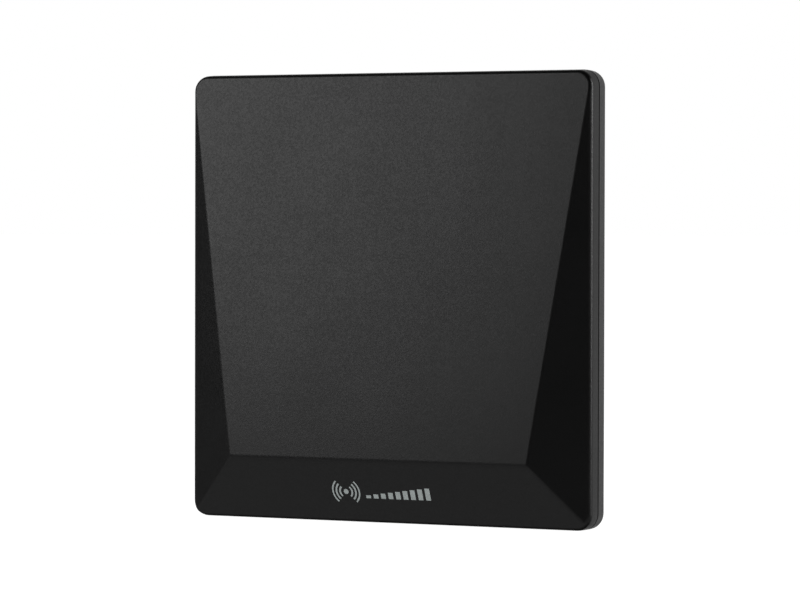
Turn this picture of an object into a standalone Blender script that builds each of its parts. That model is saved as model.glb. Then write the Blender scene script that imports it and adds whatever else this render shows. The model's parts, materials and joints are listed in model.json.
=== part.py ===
"""A flat square panel antenna with a built-in signal booster amplifier.

Metres, +Z up. The faceted front faces -Y, +X is to the right as seen from the front, and the
origin is at the bottom centre of the object's box. The housing is two moulded shells that meet
at a parting groove round the side. The front shell holds the antenna board, and the rear shell
holds the reflector, the amplifier board, a bay with two sockets and a fold-out stand leg.
"""

import itertools
import math

import bmesh
import bpy
from mathutils import Vector
from mathutils.geometry import delaunay_2d_cdt

MM = 0.001
MERGE = 1e-6  # merge distance of turned shapes
FIT = 0.2 * MM  # gap between faces that touch on the real object

# Housing
SIDE = 220 * MM  # width and height
HALF = SIDE / 2
DEPTH = 27.5 * MM
BULGE = 12.4 * MM  # how far the lower corners of the centre plate stand in front of the rim
SIDE_INSET = 28.5 * MM  # width of a side facet at its lower end
LOWER_RISE = 30.6 * MM  # height of the lower facet
CORNER_RADIUS = 8 * MM
CORNER_STEPS = 8
RIM_FILLET = 2.1 * MM
RIM_STEPS = 5
RIM_DRAFT = 0.35 * MM  # how far the rim is drawn in from the seam, except at the bottom
BACK_FILLET = 1.2 * MM
BACK_STEPS = 3
BACK_DRAFT = 0.25 * MM
SEAM_CHAMFER = 0.15 * MM
SIDE_REACH = 0.4 * MM  # a crease is rounded where its two planes are nearer than this along Y
LOWER_REACH = 0.8 * MM  # the same for the softer creases round the lower facet
CREASE_LINES = 5
WALL = 2.2 * MM
FACE_WALL = 2.4 * MM  # the faceted wall, measured along Y

BACK = DEPTH / 2
FRONT = -DEPTH / 2
RIM = FRONT + BULGE
SEAM_FRONT = RIM + 6.8 * MM  # rear edge of the front shell
SEAM_REAR = SEAM_FRONT + 0.7 * MM  # front edge of the rear shell
REAR_INSIDE = BACK - WALL

# Lip of the rear shell, inside the front shell
LIP_INSET = WALL + 0.3 * MM
LIP_WALL = 1.2 * MM
LIP_FRONT = SEAM_REAR - 3.4 * MM

# Housing screws
SCREW_X = 101 * MM
SCREW_HEIGHTS = (9.5 * MM, 110 * MM, 210.5 * MM)
BOSS_RADIUS = 3.5 * MM
SLEEVE_RADIUS = 4.2 * MM
SCREW_SEAT = BACK - 2.8 * MM
SCREW_TIP = 1.8 * MM  # Y of the screws' tips

# Stand leg and its well
WELL_HALF = 38 * MM
WELL_BOTTOM = 5 * MM
WELL_TOP = 122 * MM
WELL_FLOOR = BACK - 5 * MM
WELL_WALL = 1.6 * MM
SCOOP_RADIUS = 7 * MM
SCOOP_HEIGHT = 26 * MM
HINGE_HEIGHT = 116 * MM
HINGE_Y = BACK - 2.4 * MM
PIN_RADIUS = 1.25 * MM
PIN_HALF = 39.3 * MM
PIN_BORE = 1.35 * MM
LEG_HALF = 34 * MM
LEG_BOTTOM = 12 * MM
LEG_FRONT = BACK - 3.6 * MM
LEG_BACK = BACK - 0.6 * MM
BARREL_RADIUS = 2.1 * MM
PAD_HEIGHT = 3.3 * MM

# Connector bay, open to the back and through the bottom
BAY_LEFT = 51 * MM
BAY_RIGHT = 87 * MM
BAY_FRONT = BACK - 13.9 * MM
BAY_CEILING = 46 * MM
BAY_STEP = 10 * MM  # below this height the bay is shallower
MOUTH_FRONT = BACK - 10.35 * MM
BAY_WALL = 1.6 * MM
JACK_Y = BACK - 7.95 * MM
F_JACK_X = 60 * MM
POWER_JACK_X = 77 * MM

# Keyholes for two wall screws
KEYHOLE_X = 60 * MM
KEYHOLE_HEIGHT = 174 * MM
KEYHOLE_ENTRY = 4.5 * MM
KEYHOLE_SLOT = 2.2 * MM
KEYHOLE_TRAVEL = 11 * MM
POCKET_FRONT = BACK - 7.2 * MM

# Label recess
LABEL_LOW = (-98 * MM, 66 * MM)
LABEL_HIGH = (-52 * MM, 98 * MM)
LABEL_RECESS = 0.5 * MM

# Reflector
REFLECTOR_FRONT = 3.0 * MM
REFLECTOR_THICK = 1.0 * MM
REFLECTOR_HALF = 96.5 * MM
REFLECTOR_BOTTOM = 18 * MM
REFLECTOR_TOP = 202 * MM
REFLECTOR_POSTS = [(x * MM, z * MM) for x in (-93, 93) for z in (28, 190)]
CABLE_HOLE = (52 * MM, 104 * MM)

# Amplifier board
BOARD_THICK = 1.6 * MM
AMP_FRONT = JACK_Y + 0.8 * MM
AMP_LOW = (48 * MM, 57.6 * MM)
AMP_HIGH = (95 * MM, 112 * MM)
AMP_POSTS = [(52 * MM, 108 * MM), (91 * MM, 108 * MM), (91 * MM, 62 * MM)]

# Antenna board, parallel to the centre plate
TILT = math.atan2(BULGE, SIDE - LOWER_RISE)
ANTENNA_HEIGHT = 105 * MM  # world height of the board's middle
ANTENNA_GAP = 4.4 * MM  # from the centre plate's outside to the board's front, along Y
ANTENNA_HALF_WIDTH = 70 * MM
ANTENNA_HALF_HEIGHT = 65 * MM
ANTENNA_POSTS = [(x * MM, z * MM) for x in (-62, 62) for z in (-57, 57)]
PATCH_HALF = 28 * MM
PATCH_CENTRE = 32 * MM

# Turns that carry an object's local +Z to a world axis
TO_BACK = (-math.pi / 2, 0, 0)
TO_FRONT = (math.pi / 2, 0, 0)
TO_RIGHT = (0, math.pi / 2, 0)
UPRIGHT = (0, 0, 0)

# Colour, roughness and metallic value of each material
LOOKS = {
    "shell_black": ((0.018, 0.018, 0.019), 0.5, 0),
    "leg_black": ((0.022, 0.022, 0.023), 0.45, 0),
    "gasket_black": ((0.01, 0.01, 0.01), 0.8, 0),
    "foot_rubber": ((0.03, 0.03, 0.03), 0.9, 0),
    "steel": ((0.55, 0.55, 0.56), 0.35, 1),
    "zinc": ((0.62, 0.62, 0.6), 0.4, 1),
    "nickel": ((0.7, 0.69, 0.66), 0.22, 1),
    "aluminium": ((0.72, 0.73, 0.74), 0.4, 1),
    "tinned_copper": ((0.75, 0.5, 0.3), 0.35, 1),
    "gold_contact": ((0.85, 0.62, 0.25), 0.25, 1),
    "circuit_board": ((0.02, 0.16, 0.07), 0.45, 0),
    "dielectric_white": ((0.8, 0.8, 0.78), 0.5, 0),
    "jack_black": ((0.02, 0.02, 0.02), 0.4, 0),
    "chip_black": ((0.03, 0.03, 0.032), 0.55, 0),
    "filter_ceramic": ((0.55, 0.5, 0.42), 0.5, 0),
    "cable_jacket": ((0.05, 0.05, 0.055), 0.5, 0),
    "label_paper": ((0.62, 0.63, 0.64), 0.6, 0),
}

PARTS = bpy.data.collections.new("panel_booster")
CUTTERS = bpy.data.collections.new("cutters")


def clear_scene():
    for thing in list(bpy.data.objects):
        bpy.data.objects.remove(thing)
    bpy.context.scene.collection.children.link(PARTS)
    bpy.context.scene.collection.children.link(CUTTERS)


def material(look):
    """The Principled material of a look, made at its first use."""
    found = bpy.data.materials.get(look)
    if found:
        return found
    colour, roughness, metallic = LOOKS[look]
    made = bpy.data.materials.new(look)
    made.use_nodes = True
    shader = made.node_tree.nodes["Principled BSDF"]
    shader.inputs["Base Color"].default_value = (*colour, 1)
    shader.inputs["Roughness"].default_value = roughness
    shader.inputs["Metallic"].default_value = metallic
    return made


def place(made, look, location=(0, 0, 0), turn=UPRIGHT, parent=None):
    """Puts an object in its collection: a part if it has a look, or else a cutter."""
    made.location = location
    made.rotation_euler = turn
    made.parent = parent
    if look:
        PARTS.objects.link(made)
        made.data.materials.clear()
        made.data.materials.append(material(look))
    else:
        CUTTERS.objects.link(made)
        made.hide_render = True
        made.display_type = "WIRE"
    return made


def object_of(name, data):
    """An object that holds the bmesh, shaded smooth except at its corners."""
    mesh = bpy.data.meshes.new(name)
    data.to_mesh(mesh)
    data.free()
    mesh.shade_smooth()
    mesh.set_sharp_from_angle(angle=math.radians(32))
    return bpy.data.objects.new(name, mesh)


def edges_along(data, axis):
    """The edges that run along one axis, numbered 0 to 2."""
    found = []
    for edge in data.edges:
        run = edge.verts[1].co - edge.verts[0].co
        if abs(run[axis]) > 0.99 * run.length:
            found.append(edge)
    return found


def round_edges(data, edges, offset, segments):
    bmesh.ops.bevel(
        data, geom=edges, offset=offset, segments=segments, profile=0.5, affect="EDGES"
    )


def block_data(low, high, radius=0, axis=1, segments=4):
    """A bmesh box about its own middle, with its edges along one axis rounded, and that middle."""
    low, high = Vector(low), Vector(high)
    data = bmesh.new()
    bmesh.ops.create_cube(data, size=1)
    bmesh.ops.scale(data, vec=high - low, verts=data.verts)
    if radius:
        round_edges(data, edges_along(data, axis), radius, segments)
    return data, (low + high) / 2


def block(name, look, low, high, radius=0, axis=1, segments=4, parent=None):
    """A box between two corners, with its edges along one axis rounded."""
    data, middle = block_data(low, high, radius, axis, segments)
    return place(object_of(name, data), look, middle, parent=parent)


def rod(name, look, radius, length, base, turn=UPRIGHT, segments=24, parent=None):
    """A cylinder that starts at base and runs length along the turned local +Z."""
    data = bmesh.new()
    bmesh.ops.create_cone(
        data, cap_ends=True, segments=segments, radius1=radius, radius2=radius, depth=length
    )
    bmesh.ops.translate(data, vec=(0, 0, length / 2), verts=data.verts)
    return place(object_of(name, data), look, base, turn, parent)


def turned(name, look, profile, base, turn=UPRIGHT, segments=32, closed=False):
    """A solid of revolution about local Z: (radius, height) points, down the outer side."""
    data = bmesh.new()
    points = [data.verts.new((radius, 0, height)) for radius, height in profile]
    for index in range(len(points) - (0 if closed else 1)):
        data.edges.new((points[index], points[(index + 1) % len(points)]))
    made = object_of(name, data)
    spin = made.modifiers.new("turn", "SCREW")
    spin.steps = segments
    spin.render_steps = segments
    spin.use_merge_vertices = True
    spin.merge_threshold = MERGE
    return place(made, look, base, turn)


def combine(target, operation, tool):
    """A Boolean of the target with a tool object."""
    modifier = target.modifiers.new(tool.name, "BOOLEAN")
    modifier.operation = operation
    modifier.object = tool


def cut(target, *tools):
    for tool in tools:
        combine(target, "DIFFERENCE", tool)


def join(target, *tools):
    for tool in tools:
        combine(target, "UNION", tool)


def evaluated_mesh(made):
    """A new mesh of the object with its modifiers applied, in its own space."""
    bpy.context.view_layer.update()
    graph = bpy.context.evaluated_depsgraph_get()
    return bpy.data.meshes.new_from_object(made.evaluated_get(graph))


def bake(made):
    """Applies the object's modifiers to its mesh."""
    mesh = evaluated_mesh(made)
    made.modifiers.clear()
    made.data = mesh
    mesh.shade_smooth()
    mesh.set_sharp_from_angle(angle=math.radians(32))


def copy_of(made, name, location, turn=UPRIGHT, parent=None):
    """Another part that shares the mesh."""
    return place(bpy.data.objects.new(name, made.data), made.data.materials[0].name,
                 location, turn, parent)


def outline(name, inset, start, end):
    """A prism of the housing's square outline, drawn in by inset, from Y start to Y end."""
    low = (-HALF + inset, start, inset)
    high = (HALF - inset, end, SIDE - inset)
    return block(name, None, low, high, CORNER_RADIUS - inset, segments=8)


def outline_points(inset):
    """The (X, Z) points of the housing's square outline, drawn in by inset."""
    core, radius = HALF - CORNER_RADIUS, CORNER_RADIUS - inset
    points = []
    for quarter, (right, up) in enumerate(((1, 1), (-1, 1), (-1, -1), (1, -1))):
        for step in range(CORNER_STEPS + 1):
            angle = (quarter + step / CORNER_STEPS) * math.pi / 2
            x = right * core + radius * math.cos(angle)
            points.append((x, HALF + up * core + radius * math.sin(angle)))
    return points


def inset_at(x, z):
    """How far a point is inside the outline that outline_points(0) gives."""
    core = HALF - CORNER_RADIUS
    across, along = max(0, abs(x) - core), max(0, abs(z - HALF) - core)
    reach = max(across, along)
    if min(across, along) > 0:
        step = math.pi / 2 / CORNER_STEPS
        middle = (math.floor(math.atan2(along, across) / step) + 0.5) * step
        reach = (across * math.cos(middle) + along * math.sin(middle)) / math.cos(step / 2)
    return CORNER_RADIUS - reach


def drafted(x, z, draft):
    """The (X, Z) point moved in as the sides and the top are drawn in by draft."""
    return x * (1 - draft / HALF), z * (1 - draft / SIDE)


def fillet_steps(radius, steps):
    """(inset, drop) of the edges of a quarter round, from the side wall to the face."""
    angles = [math.pi / 2 * step / steps for step in range(steps + 1)]
    return [(radius * (1 - math.cos(a)), radius * (1 - math.sin(a))) for a in angles]


def centre_plate_y(height):
    """Y of the centre plate's outside at a height."""
    return RIM - BULGE * (SIDE - height) / (SIDE - LOWER_RISE)


def soft_max(a, b, reach):
    """The larger of two depths, rounded where they are nearer than reach."""
    near = max(0, reach - abs(a - b))
    return max(a, b) + near * near / (4 * reach)


def front_y(x, z):
    """Y of the faceted front before its rim is rounded."""
    side = RIM - BULGE * (HALF - abs(x)) / SIDE_INSET
    lower = RIM - BULGE * z / LOWER_RISE
    return soft_max(soft_max(side, centre_plate_y(z), SIDE_REACH), lower, LOWER_REACH)


def crease_lines():
    """Pairs of (X, Z) points: the lines along each crease between the strips that round it."""
    lines = []
    corner = HALF - SIDE_INSET
    for index in range(CREASE_LINES):
        step = (2 * index / (CREASE_LINES - 1) - 1) / BULGE
        rise = step * LOWER_REACH
        level = SIDE / (SIDE - LOWER_RISE) - rise
        level /= 1 / LOWER_RISE + 1 / (SIDE - LOWER_RISE)
        lines.append(((-corner, level), (corner, level)))
        across, up = SIDE_INSET * step * SIDE_REACH, LOWER_RISE * rise
        for right in (-1, 1):
            lines.append(((right * (corner + across), LOWER_RISE), (right * (HALF + across), SIDE)))
            lines.append(((right * HALF, up), (right * corner, LOWER_RISE + up)))
    return lines


def facet_wedge(name, shift):
    """The space behind the four front planes, moved back by shift.

    Its planes are carried on a little behind the rim, so that it is wider than the housing.
    """
    spread = 2 * MM
    growth = spread / BULGE
    half = HALF + SIDE_INSET * growth
    bottom = -LOWER_RISE * growth
    top = SIDE + (SIDE - LOWER_RISE) * growth
    low, high = (-half, RIM + spread + shift, bottom), (half, 2 * BACK, top)
    data = bmesh.new()
    for corner in itertools.product(*zip(low, high)):
        data.verts.new(corner)
    for x in (SIDE_INSET - HALF, HALF - SIDE_INSET):
        data.verts.new((x, FRONT + shift, LOWER_RISE))
    bmesh.ops.convex_hull(data, input=data.verts)
    bmesh.ops.dissolve_limit(
        data, angle_limit=math.radians(1), verts=data.verts, edges=data.edges
    )
    return place(object_of(name, data), None)


def front_surface(data):
    """Fills a bmesh with the faceted front and its rounded rim, up to the side wall's start."""
    points, edges = [], []
    fillet = fillet_steps(RIM_FILLET, RIM_STEPS)
    for inset, _ in fillet:
        ring = outline_points(inset)
        first, count = len(points), len(ring)
        edges += [(first + i, first + (i + 1) % count) for i in range(count)]
        points += ring
    for start, end in crease_lines():
        edges.append((len(points), len(points) + 1))
        points += [start, end]
    spots, _, faces, *_ = delaunay_2d_cdt([Vector(p) for p in points], edges, [], 0, MERGE)
    verts = []
    for x, z in spots:
        inset = min(max(inset_at(x, z), 0), RIM_FILLET)
        drop = RIM_FILLET - math.sqrt(RIM_FILLET**2 - (RIM_FILLET - inset) ** 2)
        new_x, new_z = drafted(x, z, RIM_DRAFT)
        verts.append(data.verts.new((new_x, front_y(x, z) + drop, new_z)))
    for face in faces:
        middle = sum((spots[i] for i in face), Vector((0, 0))) / len(face)
        if inset_at(*middle) > 0:
            data.faces.new([verts[i] for i in face])
    bmesh.ops.delete(data, geom=[v for v in verts if not v.link_faces], context="VERTS")


def carry_back(data, rim, inset, y, draft=0):
    """Extrudes an open rim to Y, where the outline is drawn in by inset. The new rim's edges."""
    made = bmesh.ops.extrude_edge_only(data, edges=rim)["geom"]
    core = HALF - CORNER_RADIUS
    for vert in made:
        if isinstance(vert, bmesh.types.BMVert):
            x, z = vert.co.x / (1 - draft / HALF), vert.co.z / (1 - draft / SIDE)
            middle = Vector((max(-core, min(core, x)), HALF + max(-core, min(core, z - HALF))))
            growth = (CORNER_RADIUS - inset) / (CORNER_RADIUS - inset_at(x, z))
            x, z = middle + growth * (Vector((x, z)) - middle)
            vert.co = (x, y, z)
    return [e for e in made if isinstance(e, bmesh.types.BMEdge)]


def front_blank():
    """The front shell's outer form, solid."""
    data = bmesh.new()
    front_surface(data)
    rim = [e for e in data.edges if e.is_boundary]
    rim = carry_back(data, rim, 0, SEAM_FRONT - SEAM_CHAMFER, RIM_DRAFT)
    rim = carry_back(data, rim, SEAM_CHAMFER, SEAM_FRONT)
    bmesh.ops.contextual_create(data, geom=rim)
    bmesh.ops.recalc_face_normals(data, faces=data.faces)
    return place(object_of("front_cover", data), "shell_black")


def housing_screw_places():
    return [(x, z) for x in (-SCREW_X, SCREW_X) for z in SCREW_HEIGHTS]


def front_cover(antenna_frame):
    """The faceted front shell, with bosses for the housing screws and the antenna board."""
    cover = front_blank()
    cavity = facet_wedge("front_cavity", FACE_WALL)
    combine(cavity, "INTERSECT", outline("cavity_outline", WALL, FRONT - 5 * MM, BACK))
    for x, z in housing_screw_places():
        cut(cavity, rod("front_boss", None, BOSS_RADIUS, 2 * DEPTH, (x, -DEPTH, z), TO_BACK))
    reach = 10 * MM
    for x, z in ANTENNA_POSTS:
        base = (x, -FIT - reach, z)
        cut(cavity, rod("antenna_boss", None, 3 * MM, reach, base, TO_BACK, 20, antenna_frame))
    cut(cover, cavity)
    for x, z in housing_screw_places():
        start = SCREW_TIP - 0.4 * MM
        cut(cover, rod("pilot", None, 1.6 * MM, DEPTH, (x, start, z), TO_BACK, 16))
    for x, z in ANTENNA_POSTS:
        base = (x, -3.2 * MM, z)
        cut(cover, rod("pilot", None, 1.3 * MM, 5 * MM, base, TO_BACK, 16, antenna_frame))
    gap = BAY_WALL + 0.3 * MM
    low = (BAY_LEFT - gap, MOUTH_FRONT - gap, -5 * MM)
    cut(cover, block("mouth_notch", None, low, (BAY_RIGHT + gap, BACK, WALL + 1 * MM)))
    return cover


def rear_blank():
    """The rear shell's outer form with its rounded back edge and its lip, hollowed."""
    data = bmesh.new()
    rings = [(SEAM_CHAMFER, SEAM_REAR, 0), (0, SEAM_REAR + SEAM_CHAMFER, 0)]
    for inset, drop in fillet_steps(BACK_FILLET, BACK_STEPS):
        rings.append((inset, BACK - drop, BACK_DRAFT))
    loops = []
    for inset, y, draft in rings:
        spots = [drafted(x, z, draft) for x, z in outline_points(inset)]
        loops.append([data.verts.new((x, y, z)) for x, z in spots])
    for near, far in zip(loops, loops[1:]):
        for index, corner in enumerate(near):
            data.faces.new((near[index - 1], corner, far[index], far[index - 1]))
    data.faces.new(loops[0])
    data.faces.new(loops[-1])
    bmesh.ops.recalc_face_normals(data, faces=data.faces)
    cover = place(object_of("rear_cover", data), "shell_black")
    join(cover, outline("lip", LIP_INSET, LIP_FRONT, BACK - 1 * MM))
    cut(cover, outline("rear_cavity", LIP_INSET + LIP_WALL, LIP_FRONT - 5 * MM, REAR_INSIDE))
    return cover


def grown(low, high, wall):
    """The corners of a hollow's box, moved out by its wall except at the back."""
    low = (low[0] - wall, low[1] - wall, low[2] - wall)
    return low, (high[0] + wall, BACK - 1 * MM, high[2] + wall)


def add_well(cover):
    """The leg's well with two finger scoops and the bores for the hinge pin's ends."""
    low = (-WELL_HALF, WELL_FLOOR, WELL_BOTTOM)
    high = (WELL_HALF, BACK + 1 * MM, WELL_TOP)
    join(cover, block("well_walls", None, *grown(low, high, WELL_WALL)))
    length = BACK - WELL_FLOOR
    for x in (-WELL_HALF, WELL_HALF):
        base = (x, WELL_FLOOR - WELL_WALL, SCOOP_HEIGHT)
        join(cover, rod("scoop_wall", None, SCOOP_RADIUS + WELL_WALL, length, base, TO_BACK))
    cut(cover, block("well", None, low, high, 3 * MM))
    for x in (-WELL_HALF, WELL_HALF):
        base = (x, WELL_FLOOR, SCOOP_HEIGHT)
        cut(cover, rod("scoop", None, SCOOP_RADIUS, 2 * length, base, TO_BACK))
    base = (-PIN_HALF - FIT, HINGE_Y, HINGE_HEIGHT)
    cut(cover, rod("pin_bore", None, PIN_BORE, 2 * (PIN_HALF + FIT), base, TO_RIGHT))


def add_bay(cover):
    """The connector bay, with a hole in its ceiling for each jack."""
    deep_low = (BAY_LEFT, BAY_FRONT, BAY_STEP)
    deep_high = (BAY_RIGHT, BACK + 1 * MM, BAY_CEILING)
    mouth_low = (BAY_LEFT, MOUTH_FRONT, 1.8 * MM)
    mouth_high = (BAY_RIGHT, BACK + 1 * MM, BAY_STEP + 1 * MM)
    join(cover, block("bay_walls", None, *grown(deep_low, deep_high, BAY_WALL)))
    join(cover, block("mouth_walls", None, *grown(mouth_low, mouth_high, BAY_WALL)))
    cut(cover, block("bay", None, deep_low, deep_high))
    cut(cover, block("mouth", None, (BAY_LEFT, MOUTH_FRONT, -5 * MM), mouth_high))
    for x, radius in ((F_JACK_X, 4.9 * MM), (POWER_JACK_X, 4 * MM)):
        base = (x, JACK_Y, BAY_CEILING - 2 * MM)
        cut(cover, rod("jack_hole", None, radius, 6 * MM, base))


def add_keyholes(cover):
    """Two keyholes that open into closed pockets behind the back wall."""
    for x in (-KEYHOLE_X, KEYHOLE_X):
        reach = 7 * MM
        low = (x - reach, POCKET_FRONT, KEYHOLE_HEIGHT - reach)
        high = (x + reach, REAR_INSIDE, KEYHOLE_HEIGHT + KEYHOLE_TRAVEL + reach)
        join(cover, block("pocket_walls", None, *grown(low, high, 1.2 * MM)))
        cut(cover, block("pocket", None, low, high))
        start = (x, REAR_INSIDE - 1 * MM, KEYHOLE_HEIGHT)
        cut(cover, rod("keyhole_entry", None, KEYHOLE_ENTRY, 5 * MM, start, TO_BACK, 32))
        low = (x - KEYHOLE_SLOT, REAR_INSIDE - 1 * MM, KEYHOLE_HEIGHT)
        high = (x + KEYHOLE_SLOT, BACK + 1 * MM, KEYHOLE_HEIGHT + KEYHOLE_TRAVEL)
        cut(cover, block("keyhole_slot", None, low, high))


def rear_cover():
    """The rear shell: tray, lip, leg well, connector bay, keyholes, posts and screw sleeves."""
    cover = rear_blank()
    for x, z in housing_screw_places():
        base = (x, SEAM_FRONT + 0.3 * MM, z)
        join(cover, rod("sleeve", None, SLEEVE_RADIUS, BACK - 1 * MM - base[1], base, TO_BACK))
    reflector_back = REFLECTOR_FRONT + REFLECTOR_THICK + FIT
    for x, z in REFLECTOR_POSTS:
        base = (x, reflector_back, z)
        join(cover, rod("post", None, 3 * MM, BACK - 1 * MM - base[1], base, TO_BACK, 20))
    amplifier_back = AMP_FRONT + BOARD_THICK + FIT
    for x, z in AMP_POSTS:
        base = (x, amplifier_back, z)
        join(cover, rod("post", None, 2.8 * MM, BACK - 1 * MM - base[1], base, TO_BACK, 20))
    add_well(cover)
    add_bay(cover)
    add_keyholes(cover)
    for x, z in housing_screw_places():
        cut(cover, rod("clearance", None, 1.75 * MM, DEPTH, (x, 0, z), TO_BACK, 16))
        cut(cover, rod("counterbore", None, 3.3 * MM, DEPTH, (x, SCREW_SEAT, z), TO_BACK))
    for x, z in REFLECTOR_POSTS:
        cut(cover, rod("pilot", None, 1.3 * MM, 6 * MM, (x, reflector_back - 1 * MM, z), TO_BACK, 16))
    for x, z in AMP_POSTS:
        base = (x, amplifier_back - 1 * MM, z)
        cut(cover, rod("pilot", None, 1.15 * MM, 4 * MM, base, TO_BACK, 16))
    low = (LABEL_LOW[0] - 0.5 * MM, BACK - LABEL_RECESS, LABEL_LOW[1] - 0.5 * MM)
    high = (LABEL_HIGH[0] + 0.5 * MM, BACK + 1 * MM, LABEL_HIGH[1] + 0.5 * MM)
    cut(cover, block("label_recess", None, low, high, 2 * MM))
    return cover


def seam_gasket():
    """The ring in the bottom of the parting groove, open at the connector bay."""
    start, end = SEAM_FRONT + 0.15 * MM, SEAM_REAR - 0.15 * MM
    low, high = (0.8 * MM - HALF, start, 0.8 * MM), (HALF - 0.8 * MM, end, SIDE - 0.8 * MM)
    ring = block("seam_gasket", "gasket_black", low, high, CORNER_RADIUS - 0.8 * MM, segments=8)
    cut(ring, outline("gasket_inside", 2.1 * MM, start - 1 * MM, end + 1 * MM))
    gap = BAY_WALL + 0.6 * MM
    low, high = (BAY_LEFT - gap, 0, -1 * MM), (BAY_RIGHT + gap, BACK, 5 * MM)
    cut(ring, block("gasket_gap", None, low, high))


def cross_screw(name, look, radius, length, head_radius, head_height):
    """A pan-head screw with a cross recess. Local Z = 0 is its seat, and the head is above it."""
    chamfer = 0.25 * head_height
    profile = [
        (0, head_height),
        (head_radius - chamfer, head_height),
        (head_radius, head_height - chamfer),
        (head_radius, 0),
        (radius, 0),
        (radius, radius - length),
        (0.3 * radius, -length),
        (0, -length),
    ]
    screw = turned(name, look, profile, (0, 0, 0), segments=20)
    arm, slot, depth = 0.6 * head_radius, 0.14 * head_radius, 0.6 * head_height
    for x, y in ((arm, slot), (slot, arm)):
        low = (-x, -y, head_height - depth)
        cut(screw, block("cross", None, low, (x, y, head_height + depth)))
    bake(screw)
    return screw


def screw_set(pattern, places, y, turn, parent=None):
    """Copies of a pattern screw at (X, Z) places, numbered from 1. The pattern is removed."""
    for number, (x, z) in enumerate(places, 1):
        copy_of(pattern, f"{pattern.name[:-8]}_{number}", (x, y, z), turn, parent)
    bpy.data.objects.remove(pattern)


def stand_leg():
    """The fold-out leg, its origin on the hinge axis. Folded, it lies in the well."""
    hinge = Vector((0, HINGE_Y, HINGE_HEIGHT))
    leg_top = HINGE_HEIGHT - 1 * MM
    low = Vector((-LEG_HALF, LEG_FRONT, LEG_BOTTOM))
    data, middle = block_data(low, (LEG_HALF, LEG_BACK, leg_top))
    long_edges = [e for e in data.edges if e.verts[0].co.z < 0 and e.verts[1].co.z < 0]
    round_edges(data, [e for e in long_edges if e in edges_along(data, 1)], 4 * MM, 5)
    bmesh.ops.translate(data, vec=middle - hinge, verts=data.verts)
    leg = place(object_of("stand_leg", data), "leg_black", hinge)
    base = (-LEG_HALF, HINGE_Y, HINGE_HEIGHT)
    join(leg, rod("barrel", None, BARREL_RADIUS, 2 * LEG_HALF, base, TO_RIGHT))
    rib_half = 1.2 * MM
    for side in (-1, 1):
        near, far = sorted((side * rib_half, side * (LEG_HALF - 6 * MM)))
        low = (near, LEG_BACK - 1.2 * MM, LEG_BOTTOM + 12 * MM)
        high = (far, BACK + 1 * MM, HINGE_HEIGHT - 14 * MM)
        cut(leg, block("leg_panel", None, low, high, 3 * MM))
    base = (-WELL_HALF, HINGE_Y, HINGE_HEIGHT)
    cut(leg, rod("leg_bore", None, PIN_BORE, 2 * WELL_HALF, base, TO_RIGHT))
    low = (-LEG_HALF + 4.5 * MM, LEG_FRONT, LEG_BOTTOM - FIT - PAD_HEIGHT)
    high = (LEG_HALF - 4.5 * MM, LEG_BACK, LEG_BOTTOM - FIT)
    block("leg_foot_pad", "foot_rubber", low, high, 0.8 * MM, axis=0)
    base = (-PIN_HALF, HINGE_Y, HINGE_HEIGHT)
    rod("leg_hinge_pin", "steel", PIN_RADIUS, 2 * PIN_HALF, base, TO_RIGHT)


def hex_nut(name, look, across_flats, bore, height, base):
    """A nut with two flats facing front and back, bored along Z."""
    radius = across_flats / math.sqrt(3)
    nut = rod(name, look, radius, height, base, segments=6)
    nut.data.transform(nut.matrix_basis.Rotation(math.pi / 6, 4, "Z"))
    cut(nut, rod(name + "_bore", None, bore, 3 * height, (base[0], base[1], base[2] - height)))


def f_jack():
    """The coaxial socket: its thread hangs below the bay's ceiling, its flange sits above it."""
    end, seat = -11 * MM, BAY_WALL + FIT
    groove, pitch = 0.35 * MM, 1.6 * MM
    thread = []
    height = BAY_WALL - 4 * MM - FIT
    while height > end + pitch:
        thread += [(4.7 * MM, height), (4.7 * MM - groove, height - pitch / 2)]
        height -= pitch
    profile = [
        (2.7 * MM, 9.6 * MM),
        (4 * MM, 9.6 * MM),
        (4 * MM, seat + 2.8 * MM),
        (5.4 * MM, seat + 2.8 * MM),
        (5.4 * MM, seat),
        (4.7 * MM, seat),
        *thread,
        (4.7 * MM, end + 0.5 * MM),
        (4.3 * MM, end),
        (2.7 * MM, end),
    ]
    base = (F_JACK_X, JACK_Y, BAY_CEILING)
    turned("f_jack_body", "nickel", profile, base, closed=True)
    inset = 1.2 * MM
    profile = [
        (0.8 * MM, 9.2 * MM),
        (2.55 * MM, 9.2 * MM),
        (2.55 * MM, end + inset),
        (1.3 * MM, end + inset),
        (0.8 * MM, end + inset + 0.8 * MM),
    ]
    turned("f_jack_insulator", "dielectric_white", profile, base, segments=24, closed=True)
    bottom = (F_JACK_X, JACK_Y, BAY_CEILING + end + 3 * MM)
    rod("f_jack_contact", "gold_contact", 0.5 * MM, 23 * MM, bottom, segments=12)
    washer_height, nut_height = 0.6 * MM, 2.4 * MM
    washer_base = BAY_CEILING - FIT - washer_height
    profile = [(4.9 * MM, washer_height), (5.4 * MM, washer_height), (5.4 * MM, 0), (4.9 * MM, 0)]
    turned("f_jack_washer", "nickel", profile, (F_JACK_X, JACK_Y, washer_base), closed=True)
    nut_base = (F_JACK_X, JACK_Y, washer_base - FIT - nut_height)
    hex_nut("f_jack_nut", "nickel", 11 * MM, 4.9 * MM, nut_height, nut_base)


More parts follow.
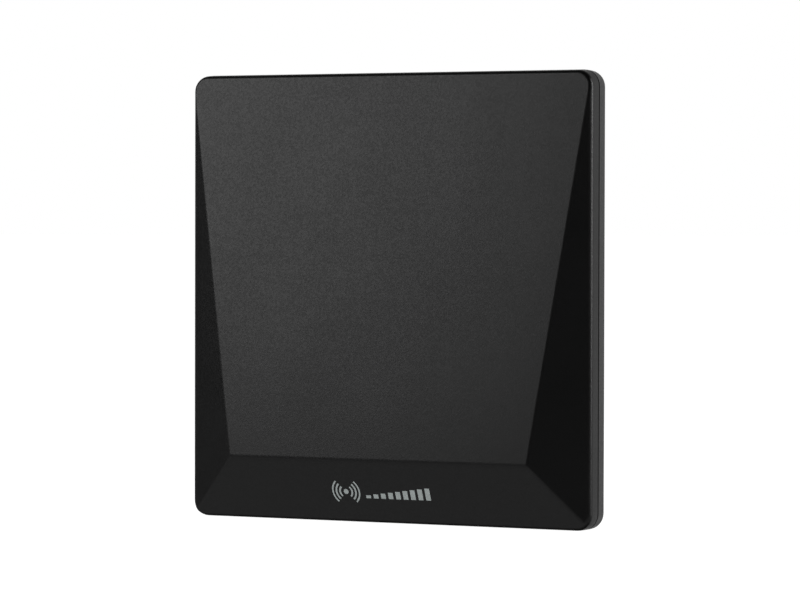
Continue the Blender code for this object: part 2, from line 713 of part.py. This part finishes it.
def power_jack():
    """The low-voltage inlet: an insulated barrel with a centre pin, held by a nut."""
    end, seat = -5 * MM, BAY_WALL + FIT
    profile = [
        (1.2 * MM, 9.6 * MM),
        (4.3 * MM, 9.6 * MM),
        (4.3 * MM, seat + 1.8 * MM),
        (5.2 * MM, seat + 1.8 * MM),
        (5.2 * MM, seat),
        (3.8 * MM, seat),
        (3.8 * MM, end + 0.4 * MM),
        (3.4 * MM, end),
        (2.8 * MM, end),
        (2.8 * MM, 6 * MM),
        (1.2 * MM, 6 * MM),
    ]
    base = (POWER_JACK_X, JACK_Y, BAY_CEILING)
    turned("power_jack_body", "jack_black", profile, base, closed=True)
    bottom = (POWER_JACK_X, JACK_Y, BAY_CEILING + end + 1 * MM)
    rod("power_jack_pin", "nickel", 1 * MM, 13.4 * MM, bottom, segments=16)
    nut_height = 2.2 * MM
    nut_base = (POWER_JACK_X, JACK_Y, BAY_CEILING - FIT - nut_height)
    hex_nut("power_jack_nut", "nickel", 10 * MM, 4 * MM, nut_height, nut_base)


def antenna(antenna_frame):
    """The antenna board and its printed elements, in the tilted frame of the centre plate."""
    low = (-ANTENNA_HALF_WIDTH, 0, -ANTENNA_HALF_HEIGHT)
    high = (ANTENNA_HALF_WIDTH, BOARD_THICK, ANTENNA_HALF_HEIGHT)
    board = block("antenna_board", "circuit_board", low, high, 4 * MM, parent=antenna_frame)
    for x, z in ANTENNA_POSTS:
        base = (x, -1 * MM, z)
        cut(board, rod("board_hole", None, 1.5 * MM, 4 * MM, base, TO_BACK, 16, antenna_frame))
    back, front = -FIT, -FIT - 0.5 * MM
    notch_half, notch_depth = 2.2 * MM, 9 * MM
    for name, side in (("upper", 1), ("lower", -1)):
        middle = side * PATCH_CENTRE
        low = (-PATCH_HALF, front, middle - PATCH_HALF)
        high = (PATCH_HALF, back, middle + PATCH_HALF)
        patch = block("patch_element_" + name, "tinned_copper", low, high, 5 * MM, parent=antenna_frame)
        inner = side * (PATCH_CENTRE - PATCH_HALF)
        bottom, top = sorted((inner - side * 1 * MM, inner + side * notch_depth))
        low, high = (-notch_half, -5 * MM, bottom), (notch_half, 5 * MM, top)
        cut(patch, block("feed_notch", None, low, high, parent=antenna_frame))
    reach = PATCH_CENTRE - PATCH_HALF + notch_depth - 0.6 * MM
    low, high = (-1.2 * MM, front, -reach), (1.2 * MM, back, reach)
    block("feed_strip", "tinned_copper", low, high, parent=antenna_frame)
    pattern = cross_screw("antenna_screw_pattern", "zinc", 1.1 * MM, 4.4 * MM, 2.2 * MM, 1.3 * MM)
    screw_set(pattern, ANTENNA_POSTS, BOARD_THICK + FIT, TO_BACK, antenna_frame)


def reflector():
    """The aluminium plate behind the antenna, cut away round the connector bay."""
    low = (-REFLECTOR_HALF, REFLECTOR_FRONT, REFLECTOR_BOTTOM)
    high = (REFLECTOR_HALF, REFLECTOR_FRONT + REFLECTOR_THICK, REFLECTOR_TOP)
    plate = block("reflector_plate", "aluminium", low, high, 5 * MM)
    low = (BAY_LEFT - 3.5 * MM, 0, 0)
    high = (BAY_RIGHT + 2.6 * MM, BACK, AMP_LOW[1] + 2 * MM)
    cut(plate, block("plate_notch", None, low, high))
    x, z = CABLE_HOLE
    cut(plate, rod("cable_hole", None, 5 * MM, DEPTH, (x, -1 * MM, z), TO_BACK))
    for x, z in REFLECTOR_POSTS:
        cut(plate, rod("plate_hole", None, 1.6 * MM, DEPTH, (x, 0, z), TO_BACK, 16))
    pattern = cross_screw("reflector_screw_pattern", "zinc", 1.1 * MM, 5 * MM, 2.5 * MM, 1.4 * MM)
    screw_set(pattern, REFLECTOR_POSTS, REFLECTOR_FRONT - FIT, TO_FRONT)


def amplifier():
    """The amplifier board on its three posts, with its parts on the rear side."""
    low = (AMP_LOW[0], AMP_FRONT, AMP_LOW[1])
    high = (AMP_HIGH[0], AMP_FRONT + BOARD_THICK, AMP_HIGH[1])
    board = block("amplifier_board", "circuit_board", low, high, 2 * MM)
    for x, z in AMP_POSTS:
        cut(board, rod("board_hole", None, 1.3 * MM, DEPTH, (x, 0, z), TO_BACK, 16))
    pattern = cross_screw("board_screw_pattern", "zinc", 0.95 * MM, 4.4 * MM, 2 * MM, 1.2 * MM)
    screw_set(pattern, AMP_POSTS, AMP_FRONT - FIT, TO_FRONT)
    seat = AMP_FRONT + BOARD_THICK + FIT
    low, high = (54 * MM, seat, 70 * MM), (82 * MM, seat + 2.6 * MM, 98 * MM)
    can = block("shield_can", "nickel", low, high, 1.5 * MM)
    sheet = 0.4 * MM
    low = (low[0] + sheet, seat - 1 * MM, low[2] + sheet)
    high = (high[0] - sheet, high[1] - sheet, high[2] - sheet)
    cut(can, block("can_inside", None, low, high, 1.1 * MM))
    block("amplifier_chip", "chip_black", (65 * MM, seat, 81 * MM), (71 * MM, seat + 0.9 * MM, 87 * MM))
    block("band_filter", "filter_ceramic", (85 * MM, seat, 76 * MM), (92 * MM, seat + 2 * MM, 86 * MM))
    block("voltage_regulator", "chip_black", (53 * MM, seat, 60 * MM), (59 * MM, seat + 1.6 * MM, 66 * MM))
    rod("power_choke", "chip_black", 3.2 * MM, 2.6 * MM, (72 * MM, seat, 64 * MM), TO_BACK)


def smooth_route(points, step):
    """Points along a Catmull-Rom curve through the given points, about step apart."""
    points = [Vector(p) for p in points]
    padded = [2 * points[0] - points[1], *points, 2 * points[-1] - points[-2]]
    route = []
    for a, b, c, d in zip(padded, padded[1:], padded[2:], padded[3:]):
        count = max(1, round((c - b).length / step))
        for index in range(count):
            t = index / count
            route.append(0.5 * (
                2 * b + (c - a) * t + (2 * a - 5 * b + 4 * c - d) * t * t
                + (3 * b - a - 3 * c + d) * t * t * t
            ))
    return [*route, points[-1]]


def feed_lead():
    """The coaxial jumper from the antenna board, through the reflector, to the amplifier board."""
    height = 100 * MM
    board_back = centre_plate_y(height) + ANTENNA_GAP + BOARD_THICK + 0.35 * MM
    plug_radius, plug_height = 1.7 * MM, 1.8 * MM
    start = (20 * MM, board_back, height)
    rod("feed_plug_antenna", "gold_contact", plug_radius, plug_height, start, TO_BACK, 20)
    end = (62 * MM, AMP_FRONT - FIT - plug_height, height)
    rod("feed_plug_amplifier", "gold_contact", plug_radius, plug_height, end, TO_BACK, 20)
    reach = plug_radius + 0.3 * MM
    start_y = start[1] + plug_height / 2
    end_y = end[1] + plug_height / 2
    hole_x, hole_z = CABLE_HOLE
    route = smooth_route(
        [
            (start[0] + reach, start_y, height),
            (28 * MM, start_y + 0.5 * MM, height + 1 * MM),
            (38 * MM, 0.2 * MM, height + 3.5 * MM),
            (46 * MM, 1.8 * MM, height + 4.5 * MM),
            (hole_x, REFLECTOR_FRONT + 0.5 * MM, hole_z),
            (56 * MM, end_y - 0.3 * MM, height + 2 * MM),
            (end[0] - reach, end_y, height),
        ],
        3 * MM,
    )
    curve = bpy.data.curves.new("feed_cable", "CURVE")
    curve.dimensions = "3D"
    curve.bevel_depth = 0.7 * MM
    curve.bevel_resolution = 2
    curve.use_fill_caps = True
    spline = curve.splines.new("POLY")
    spline.points.add(len(route) - 1)
    for point, place_on_route in zip(spline.points, route):
        point.co = (*place_on_route, 1)
    place(bpy.data.objects.new("feed_cable", curve), "cable_jacket")


def main():
    clear_scene()
    antenna_frame = bpy.data.objects.new("antenna_frame", None)
    CUTTERS.objects.link(antenna_frame)
    antenna_frame.location = (0, centre_plate_y(ANTENNA_HEIGHT) + ANTENNA_GAP, ANTENNA_HEIGHT)
    antenna_frame.rotation_euler = (-TILT, 0, 0)
    front_cover(antenna_frame)
    rear_cover()
    seam_gasket()
    shank, head = 1.45 * MM, 2.9 * MM
    length = SCREW_SEAT + FIT - SCREW_TIP
    pattern = cross_screw("housing_screw_pattern", "zinc", shank, length, head, 1.9 * MM)
    screw_set(pattern, housing_screw_places(), SCREW_SEAT + FIT, TO_BACK)
    stand_leg()
    f_jack()
    power_jack()
    antenna(antenna_frame)
    reflector()
    amplifier()
    feed_lead()
    low = (LABEL_LOW[0], BACK - LABEL_RECESS + 0.1 * MM, LABEL_LOW[1])
    high = (LABEL_HIGH[0], BACK - 0.15 * MM, LABEL_HIGH[1])
    block("rating_label", "label_paper", low, high, 1.5 * MM)


main()
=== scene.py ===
"""Looks of the flat panel signal booster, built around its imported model.

Metres, +Z up, the faceted front towards -Y. The shells, the gasket, the leg and the sockets are
carried over as welded, smooth-shaded copies of their solids, and the other nodes get a material.
The print on the lower facet is added here.
"""

import json
import math

import bmesh
import bpy
from mathutils import Matrix, Vector
from mathutils.bvhtree import BVHTree

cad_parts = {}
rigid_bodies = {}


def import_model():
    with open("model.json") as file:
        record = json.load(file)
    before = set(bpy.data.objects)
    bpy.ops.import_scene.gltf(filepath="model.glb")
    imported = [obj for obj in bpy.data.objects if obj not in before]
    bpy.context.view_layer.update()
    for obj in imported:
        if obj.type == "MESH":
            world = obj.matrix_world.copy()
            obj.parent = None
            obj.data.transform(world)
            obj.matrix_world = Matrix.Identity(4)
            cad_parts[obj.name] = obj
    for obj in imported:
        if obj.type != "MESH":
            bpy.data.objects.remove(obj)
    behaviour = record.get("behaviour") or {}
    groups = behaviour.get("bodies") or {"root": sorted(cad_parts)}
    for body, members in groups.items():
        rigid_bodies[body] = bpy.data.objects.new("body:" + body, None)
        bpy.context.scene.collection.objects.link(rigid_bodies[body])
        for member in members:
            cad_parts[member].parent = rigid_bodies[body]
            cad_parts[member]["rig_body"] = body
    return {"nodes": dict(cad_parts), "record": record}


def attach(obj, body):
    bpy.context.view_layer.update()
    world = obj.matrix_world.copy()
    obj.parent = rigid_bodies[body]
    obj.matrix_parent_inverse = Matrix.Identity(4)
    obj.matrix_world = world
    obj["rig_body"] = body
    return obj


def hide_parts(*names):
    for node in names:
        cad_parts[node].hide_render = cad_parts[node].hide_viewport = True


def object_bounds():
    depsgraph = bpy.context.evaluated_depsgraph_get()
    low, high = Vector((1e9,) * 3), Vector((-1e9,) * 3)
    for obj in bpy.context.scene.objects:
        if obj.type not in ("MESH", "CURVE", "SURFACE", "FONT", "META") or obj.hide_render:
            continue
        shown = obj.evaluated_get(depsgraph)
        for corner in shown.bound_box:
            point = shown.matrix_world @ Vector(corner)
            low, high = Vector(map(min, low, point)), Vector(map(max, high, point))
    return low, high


MM = 0.001

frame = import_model()
cad_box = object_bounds()

# Camera: a long lens, from the front right and a little above the middle
CAMERA_PLACE = (0.8945, -1.7037, 0.1472)
CAMERA_AZIMUTH = math.radians(27.537)
CAMERA_PITCH = math.radians(-1.138)
CAMERA_ROLL = math.radians(0.133)
CAMERA_LENS = 177.45
CAMERA_SENSOR = 36

# Studio glows. A glow is a product of fades, and a fade runs along an axis of the direction: it
# has its start, its end and the strengths at both.
BACK_GLOW = (
    ("Y", -0.35, 0.85, 0.0, 0.74),
    ("Z", 0.2, 0.9, 1.0, 0.25),
    ("Z", -0.7, -0.25, 0.0, 1.0),
)
LOW_GLOW = (
    ("Z", 0.0, -0.4, 0.0, 0.42),
    ("Y", -0.4, 0.4, 1.0, 0.0),
)

# Soft lights: name, azimuth and elevation in degrees, width, height and power
SOFTBOXES = (
    ("key", -42, 20, 0.85, 0.85, 4.75),
    ("side", 100, 18, 0.25, 0.9, 5.5),
)
SOFTBOX_DISTANCE = 1.2
SOFTBOX_TARGET = Vector((0, 0, 0.11))

FLOOR_RADIUS = 40
FLOOR_COLOUR = (0.86, 0.86, 0.86, 1)
FLOOR_GLOW = 0.92

# Print on the lower facet, measured along it
MARK_COLOUR = (0.30, 0.33, 0.325)
MARK_THICK = 0.03 * MM
MARK_HEIGHT = 15.2 * MM  # world height of the print's middle line
EMBLEM_X = -19.3 * MM
EMBLEM_DOT = 1.35 * MM
EMBLEM_RINGS = ((2.9 * MM, 3.8 * MM), (4.9 * MM, 5.8 * MM), (6.9 * MM, 7.7 * MM))
EMBLEM_SPREAD = math.radians(48)
METER_START = -8.6 * MM
METER_BARS = 9
METER_PITCH = 4.1 * MM
METER_BAR = 2.6 * MM
METER_LOW = 1.6 * MM
METER_HIGH = 6.4 * MM

# Smooth copies
WELD = 0.002 * MM
FLAT_ANGLE = math.radians(0.4)  # faces that meet at less than this become one
SHARP_ANGLE = math.radians(34)
FLAT_WEIGHT = 90  # how strongly large faces pull the shading normals

# Nodes that show from outside, and so are carried over as smooth copies
SHOWN = (
    "front_cover",
    "rear_cover",
    "seam_gasket",
    "stand_leg",
    "leg_foot_pad",
    "leg_hinge_pin",
    "f_jack_body",
    "f_jack_insulator",
    "f_jack_washer",
    "power_jack_body",
)


# ---------------------------------------------------------------- camera, lights, floor


def add_camera():
    data = bpy.data.cameras.new("camera")
    data.lens = CAMERA_LENS
    data.sensor_width = CAMERA_SENSOR
    data.clip_start = 0.05
    data.clip_end = 60
    camera = bpy.data.objects.new("camera", data)
    turn = Matrix.Rotation(CAMERA_AZIMUTH, 4, "Z")
    tilt = Matrix.Rotation(math.pi / 2 + CAMERA_PITCH, 4, "X")
    roll = Matrix.Rotation(CAMERA_ROLL, 4, "Z")
    camera.matrix_world = Matrix.Translation(CAMERA_PLACE) @ turn @ tilt @ roll
    bpy.context.scene.collection.objects.link(camera)
    bpy.context.scene.camera = camera


def direction(azimuth, elevation):
    """A unit vector from the object. Azimuth 0 is the front, and it grows towards +X."""
    azimuth, elevation = math.radians(azimuth), math.radians(elevation)
    flat = math.cos(elevation)
    return Vector((math.sin(azimuth) * flat, -math.cos(azimuth) * flat, math.sin(elevation)))


def softbox(name, azimuth, elevation, width, height, power):
    """A rectangular soft light that faces the object's middle. Cameras don't see it."""
    data = bpy.data.lights.new(name, "AREA")
    data.shape = "RECTANGLE"
    data.size = width
    data.size_y = height
    data.energy = power
    light = bpy.data.objects.new(name, data)
    out = direction(azimuth, elevation)
    light.location = SOFTBOX_TARGET + out * SOFTBOX_DISTANCE
    light.rotation_euler = out.to_track_quat("Z", "Y").to_euler()
    light.visible_camera = False
    bpy.context.scene.collection.objects.link(light)


def add_world():
    """A studio that glows low down behind the object and, weakly, from below. It looks white."""
    world = bpy.data.worlds.new("studio")
    bpy.context.scene.world = world
    world.use_nodes = True
    tree = world.node_tree
    tree.nodes.clear()
    split = tree.nodes.new("ShaderNodeSeparateXYZ")
    tree.links.new(tree.nodes.new("ShaderNodeTexCoord").outputs["Generated"], split.inputs[0])

    def fade(axis, start, end, low, high):
        made = tree.nodes.new("ShaderNodeMapRange")
        made.interpolation_type = "SMOOTHSTEP"
        made.inputs["From Min"].default_value = start
        made.inputs["From Max"].default_value = end
        made.inputs["To Min"].default_value = low
        made.inputs["To Max"].default_value = high
        tree.links.new(split.outputs[axis], made.inputs["Value"])
        return made.outputs[0]

    def combined(operation, values):
        total = values[0]
        for value in values[1:]:
            step = tree.nodes.new("ShaderNodeMath")
            step.operation = operation
            tree.links.new(total, step.inputs[0])
            tree.links.new(value, step.inputs[1])
            total = step.outputs[0]
        return total

    back, low = ([fade(*terms) for terms in glow] for glow in (BACK_GLOW, LOW_GLOW))
    glows = [combined("MULTIPLY", back), combined("MULTIPLY", low)]
    lit = tree.nodes.new("ShaderNodeBackground")
    tree.links.new(combined("ADD", glows), lit.inputs["Strength"])
    white = tree.nodes.new("ShaderNodeBackground")
    white.inputs["Color"].default_value = (1, 1, 1, 1)
    mix = tree.nodes.new("ShaderNodeMixShader")
    tree.links.new(tree.nodes.new("ShaderNodeLightPath").outputs["Is Camera Ray"], mix.inputs[0])
    tree.links.new(lit.outputs[0], mix.inputs[1])
    tree.links.new(white.outputs[0], mix.inputs[2])
    out = tree.nodes.new("ShaderNodeOutputWorld")
    tree.links.new(mix.outputs[0], out.inputs["Surface"])


def add_floor():
    """A wide pale light table, which the glossy shell doesn't mirror."""
    bpy.ops.mesh.primitive_circle_add(vertices=96, radius=FLOOR_RADIUS, fill_type="NGON")
    floor = bpy.context.object
    floor.name = "floor"
    floor.visible_glossy = False
    material = bpy.data.materials.new("floor_white")
    material.use_nodes = True
    shader = material.node_tree.nodes["Principled BSDF"]
    shader.inputs["Base Color"].default_value = FLOOR_COLOUR
    shader.inputs["Roughness"].default_value = 0.9
    shader.inputs["Emission Color"].default_value = (1, 1, 1, 1)
    shader.inputs["Emission Strength"].default_value = FLOOR_GLOW
    floor.data.materials.append(material)


def add_studio():
    add_camera()
    add_world()
    add_floor()
    for box in SOFTBOXES:
        softbox(*box)
    bpy.context.scene.view_settings.view_transform = "Standard"


# ---------------------------------------------------------------- materials


def add_node(tree, kind, settings=(), **inputs):
    """A node with its settings. An input is a value or another node's output."""
    made = tree.nodes.new("ShaderNode" + kind)
    for key, value in dict(settings).items():
        setattr(made, key, value)
    for key, value in inputs.items():
        socket = made.inputs[key.replace("_", " ")]
        if isinstance(value, bpy.types.NodeSocket):
            tree.links.new(value, socket)
        else:
            socket.default_value = value
    return made


def new_material(name, roughness, metallic=0.0):
    """A material with its tree, its shader and the object coordinates of its surface."""
    material = bpy.data.materials.new(name)
    material.use_nodes = True
    tree = material.node_tree
    shader = tree.nodes["Principled BSDF"]
    shader.inputs["Roughness"].default_value = roughness
    shader.inputs["Metallic"].default_value = metallic
    coords = add_node(tree, "TexCoord").outputs["Object"]
    return material, tree, shader, coords


def noise(tree, coords, size, detail=2.0):
    """Noise whose blobs are about size metres across."""
    return add_node(tree, "TexNoise", Vector=coords, Scale=1 / size, Detail=detail).outputs["Fac"]


def ranged(tree, value, low, high, start=0.3, end=0.7):
    """The value, which mostly runs from start to end, mapped to low and high."""
    made = add_node(tree, "MapRange", Value=value)
    for key, number in (("From Min", start), ("From Max", end), ("To Min", low), ("To Max", high)):
        made.inputs[key].default_value = number
    return made.outputs[0]


def tinted(tree, factor, dark, light):
    """A colour between two, by a factor from 0 to 1."""
    mix = add_node(tree, "Mix", {"data_type": "RGBA"})
    tree.links.new(factor, mix.inputs["Factor"])
    mix.inputs[6].default_value = (*dark, 1)
    mix.inputs[7].default_value = (*light, 1)
    return mix.outputs[2]


def scaled(colour, factor):
    return tuple(channel * factor for channel in colour)


def set_bump(tree, shader, height, strength, distance):
    bump = add_node(tree, "Bump", Height=height, Strength=strength, Distance=distance)
    tree.links.new(bump.outputs[0], shader.inputs["Normal"])


def moulded_plastic(name, colour, roughness, grain, strength=0.35, speckle=0.35, sparkle=0.03):
    """Plastic from a spark-eroded mould: pitted, with small cells and a slow drift of gloss.

    The cells differ in tint by speckle and in roughness by sparkle.
    """
    material, tree, shader, coords = new_material(name, roughness)
    pits = add_node(tree, "TexVoronoi", {"feature": "SMOOTH_F1"}, Vector=coords, Scale=1 / grain)
    fine = noise(tree, coords, 0.6 * grain, 3.0)
    height = add_node(tree, "Math", {"operation": "ADD"})
    tree.links.new(pits.outputs["Distance"], height.inputs[0])
    tree.links.new(fine, height.inputs[1])
    set_bump(tree, shader, height.outputs[0], strength, 0.06 * MM)
    cells = add_node(tree, "TexVoronoi", Vector=coords, Scale=1 / grain).outputs["Color"]
    speck = ranged(tree, cells, 0, 1, 0.2, 0.8)
    low, high = scaled(colour, 1 - speckle), scaled(colour, 1 + speckle)
    tree.links.new(tinted(tree, speck, low, high), shader.inputs["Base Color"])
    drift = ranged(tree, noise(tree, coords, 45 * MM, 3.0), roughness - 0.02, roughness + 0.02)
    gloss = add_node(tree, "Math", {"operation": "MULTIPLY_ADD"})
    tree.links.new(speck, gloss.inputs[0])
    gloss.inputs[1].default_value = -2 * sparkle
    tree.links.new(drift, gloss.inputs[2])
    tree.links.new(gloss.outputs[0], shader.inputs["Roughness"])
    return material


def plated_metal(name, colour, roughness, streak=(1, 1, 12)):
    """Plated or rolled metal with fine streaks along one axis and a faint tarnish."""
    material, tree, shader, coords = new_material(name, roughness, 1.0)
    stretch = add_node(tree, "Mapping", Vector=coords, Scale=streak).outputs[0]
    lines = noise(tree, stretch, 0.25 * MM, 3.0)
    tarnish = ranged(tree, noise(tree, coords, 3 * MM, 4.0), 0, 1)
    colours = tinted(tree, tarnish, scaled(colour, 0.86), colour)
    tree.links.new(colours, shader.inputs["Base Color"])
    tree.links.new(ranged(tree, lines, roughness * 0.75, roughness * 1.3), shader.inputs["Roughness"])
    set_bump(tree, shader, lines, 0.12, 0.02 * MM)
    return material


def soft_rubber(name, colour):
    """Matt rubber with a film of dust."""
    material, tree, shader, coords = new_material(name, 0.85)
    shader.inputs["Specular IOR Level"].default_value = 0.2
    dust = ranged(tree, noise(tree, coords, 1.2 * MM, 5.0), 0, 1, 0.4, 0.75)
    tree.links.new(tinted(tree, dust, colour, scaled(colour, 1.7)), shader.inputs["Base Color"])
    set_bump(tree, shader, noise(tree, coords, 0.3 * MM, 3.0), 0.3, 0.05 * MM)
    return material


def circuit_board(name):
    """Green solder mask over faint copper tracks."""
    material, tree, shader, coords = new_material(name, 0.4)
    tracks = add_node(tree, "TexBrick", {"offset": 0.5, "squash": 1.0}, Scale=160.0)
    turn = add_node(tree, "Mapping", Vector=coords, Rotation=(math.pi / 2, 0, 0)).outputs[0]
    tree.links.new(turn, tracks.inputs["Vector"])
    tracks.inputs["Mortar Size"].default_value = 0.035
    lines = tracks.outputs["Fac"]
    mask = tinted(tree, lines, (0.012, 0.115, 0.045), (0.03, 0.2, 0.08))
    tree.links.new(mask, shader.inputs["Base Color"])
    weave = noise(tree, coords, 0.8 * MM, 2.0)
    tree.links.new(ranged(tree, weave, 0.33, 0.48), shader.inputs["Roughness"])
    set_bump(tree, shader, lines, 0.2, 0.03 * MM)
    return material


def label_film(name):
    """Matt silver-grey label film with a faint fibre."""
    material, tree, shader, coords = new_material(name, 0.55)
    stretch = add_node(tree, "Mapping", Vector=coords, Scale=(1, 1, 6)).outputs[0]
    fibre = noise(tree, stretch, 0.6 * MM, 4.0)
    colours = tinted(tree, ranged(tree, fibre, 0, 1), (0.46, 0.47, 0.48), (0.56, 0.57, 0.58))
    tree.links.new(colours, shader.inputs["Base Color"])
    set_bump(tree, shader, fibre, 0.08, 0.02 * MM)
    return material


def print_ink(name):
    """Light grey pad-printed ink, a little uneven over the plastic's grain."""
    material, tree, shader, coords = new_material(name, 0.6)
    cover = ranged(tree, noise(tree, coords, 0.35 * MM, 2.0), 0, 1)
    colours = tinted(tree, cover, scaled(MARK_COLOUR, 0.8), scaled(MARK_COLOUR, 1.1))
    tree.links.new(colours, shader.inputs["Base Color"])
    set_bump(tree, shader, noise(tree, coords, 0.5 * MM, 2.0), 0.2, 0.03 * MM)
    return material


def make_materials():
    """One material for each of the record's slots."""
    shell = (0.0022, 0.0022, 0.0023)
    return {
        "shell_black": moulded_plastic("shell_black", shell, 0.4, 0.75 * MM, 0.26, sparkle=0.052),
        "leg_black": moulded_plastic("leg_black", scaled(shell, 1.3), 0.46, 0.5 * MM, 0.25),
        "gasket_black": soft_rubber("gasket_black", (0.006, 0.006, 0.006)),
        "foot_rubber": soft_rubber("foot_rubber", (0.02, 0.02, 0.021)),
        "steel": plated_metal("steel", (0.55, 0.55, 0.56), 0.3, (12, 1, 1)),
        "zinc": plated_metal("zinc", (0.56, 0.57, 0.58), 0.32),
        "nickel": plated_metal("nickel", (0.68, 0.66, 0.62), 0.2),
        "aluminium": plated_metal("aluminium", (0.74, 0.75, 0.76), 0.36, (1, 1, 20)),
        "tinned_copper": plated_metal("tinned_copper", (0.78, 0.5, 0.32), 0.34, (1, 1, 3)),
        "gold_contact": plated_metal("gold_contact", (0.86, 0.62, 0.26), 0.2),
        "circuit_board": circuit_board("circuit_board"),
        "dielectric_white": moulded_plastic(
            "dielectric_white", (0.74, 0.74, 0.71), 0.45, 0.4 * MM, 0.15, 0.04
        ),
        "jack_black": moulded_plastic("jack_black", (0.012, 0.012, 0.012), 0.35, 0.3 * MM, 0.15),
        "chip_black": moulded_plastic("chip_black", (0.02, 0.02, 0.021), 0.5, 0.2 * MM, 0.2),
        "filter_ceramic": moulded_plastic(
            "filter_ceramic", (0.5, 0.45, 0.37), 0.5, 0.4 * MM, 0.2, 0.1
        ),
        "cable_jacket": moulded_plastic("cable_jacket", (0.03, 0.03, 0.032), 0.45, 0.3 * MM, 0.1),
        "label_paper": label_film("label_paper"),
    }


# ---------------------------------------------------------------- pieces


def smooth_copy(node):
    """A welded copy of a CAD node with its flat faces whole and its round ones shaded smooth."""
    source = frame["nodes"][node]
    data = bmesh.new()
    data.from_mesh(source.data)
    bmesh.ops.remove_doubles(data, verts=data.verts, dist=WELD)
    bmesh.ops.dissolve_limit(data, angle_limit=FLAT_ANGLE, verts=data.verts, edges=data.edges)
    mesh = bpy.data.meshes.new(node + "_skin")
    data.to_mesh(mesh)
    data.free()
    mesh.shade_smooth()
    mesh.set_sharp_from_angle(angle=SHARP_ANGLE)
    piece = bpy.data.objects.new(node + "_skin", mesh)
    bpy.context.scene.collection.objects.link(piece)
    weigh = piece.modifiers.new("weigh", "WEIGHTED_NORMAL")
    weigh.keep_sharp = True
    weigh.weight = FLAT_WEIGHT
    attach(piece, source["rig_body"])
    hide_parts(node)
    return piece


def dress_nodes(materials):
    """Gives every CAD node, or the smooth copy that stands for it, its slot's material."""
    slots = {entry["node"]: entry["material_slot"] for entry in frame["record"]["subparts"]}
    for node, thing in frame["nodes"].items():
        shown = smooth_copy(node) if node in SHOWN else thing
        shown.data.materials.clear()
        shown.data.materials.append(materials[slots[node]])


def surface_at(node, x, z):
    """Where a line from the front meets a CAD node, and the surface's direction there."""
    mesh = frame["nodes"][node].data
    corners = [corner.co for corner in mesh.vertices]
    tree = BVHTree.FromPolygons(corners, [face.vertices for face in mesh.polygons])
    place, normal, _, _ = tree.ray_cast(Vector((x, cad_box[0][1] - 0.1, z)), Vector((0, 1, 0)))
    return place, normal


def ring_sector(inner, outer, start, end, steps=18):
    """The outline of a piece of a ring, as points."""
    angles = [start + (end - start) * index / steps for index in range(steps + 1)]
    outside = [(outer * math.cos(a), outer * math.sin(a)) for a in angles]
    inside = [(inner * math.cos(a), inner * math.sin(a)) for a in reversed(angles)]
    return outside + inside


def emblem_outlines():
    """A broadcast sign: a dot with arcs on both sides."""
    turn = 2 * math.pi / 32
    dot = [(EMBLEM_DOT * math.cos(turn * i), EMBLEM_DOT * math.sin(turn * i)) for i in range(32)]
    outlines = [dot]
    for inner, outer in EMBLEM_RINGS:
        for middle in (0, math.pi):
            outlines.append(ring_sector(inner, outer, middle - EMBLEM_SPREAD, middle + EMBLEM_SPREAD))
    return [[(EMBLEM_X + u, v) for u, v in outline] for outline in outlines]


def meter_outlines():
    """A row of bars that rise to the right."""
    outlines = []
    for index in range(METER_BARS):
        left = METER_START + index * METER_PITCH
        tall = METER_LOW + (METER_HIGH - METER_LOW) * index / (METER_BARS - 1)
        base = -METER_HIGH / 2
        corners = ((0, 0), (METER_BAR, 0), (METER_BAR, tall), (0, tall))
        outlines.append([(left + u, base + v) for u, v in corners])
    return outlines


def front_mark(ink):
    """The print on the lower facet: thin closed shapes that lie on the plastic."""
    place, normal = surface_at("front_cover", 0, MARK_HEIGHT)
    right = Vector((1, 0, 0))
    up = normal.cross(right) if normal.cross(right).z > 0 else right.cross(normal)
    axes = Matrix((right, up, normal)).transposed().to_4x4()
    data = bmesh.new()
    for outline in emblem_outlines() + meter_outlines():
        face = data.faces.new([data.verts.new((u, v, 0)) for u, v in outline])
        raised = bmesh.ops.extrude_face_region(data, geom=[face])["geom"]
        tops = [item for item in raised if isinstance(item, bmesh.types.BMVert)]
        bmesh.ops.translate(data, vec=(0, 0, MARK_THICK), verts=tops)
    bmesh.ops.recalc_face_normals(data, faces=data.faces)
    mesh = bpy.data.meshes.new("front_mark")
    data.to_mesh(mesh)
    data.free()
    mesh.transform(Matrix.Translation(place) @ axes)
    mark = bpy.data.objects.new("front_mark", mesh)
    bpy.context.scene.collection.objects.link(mark)
    mesh.materials.append(ink)
    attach(mark, frame["nodes"]["front_cover"]["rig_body"])


add_studio()
dress_nodes(make_materials())
front_mark(print_ink("print_ink"))
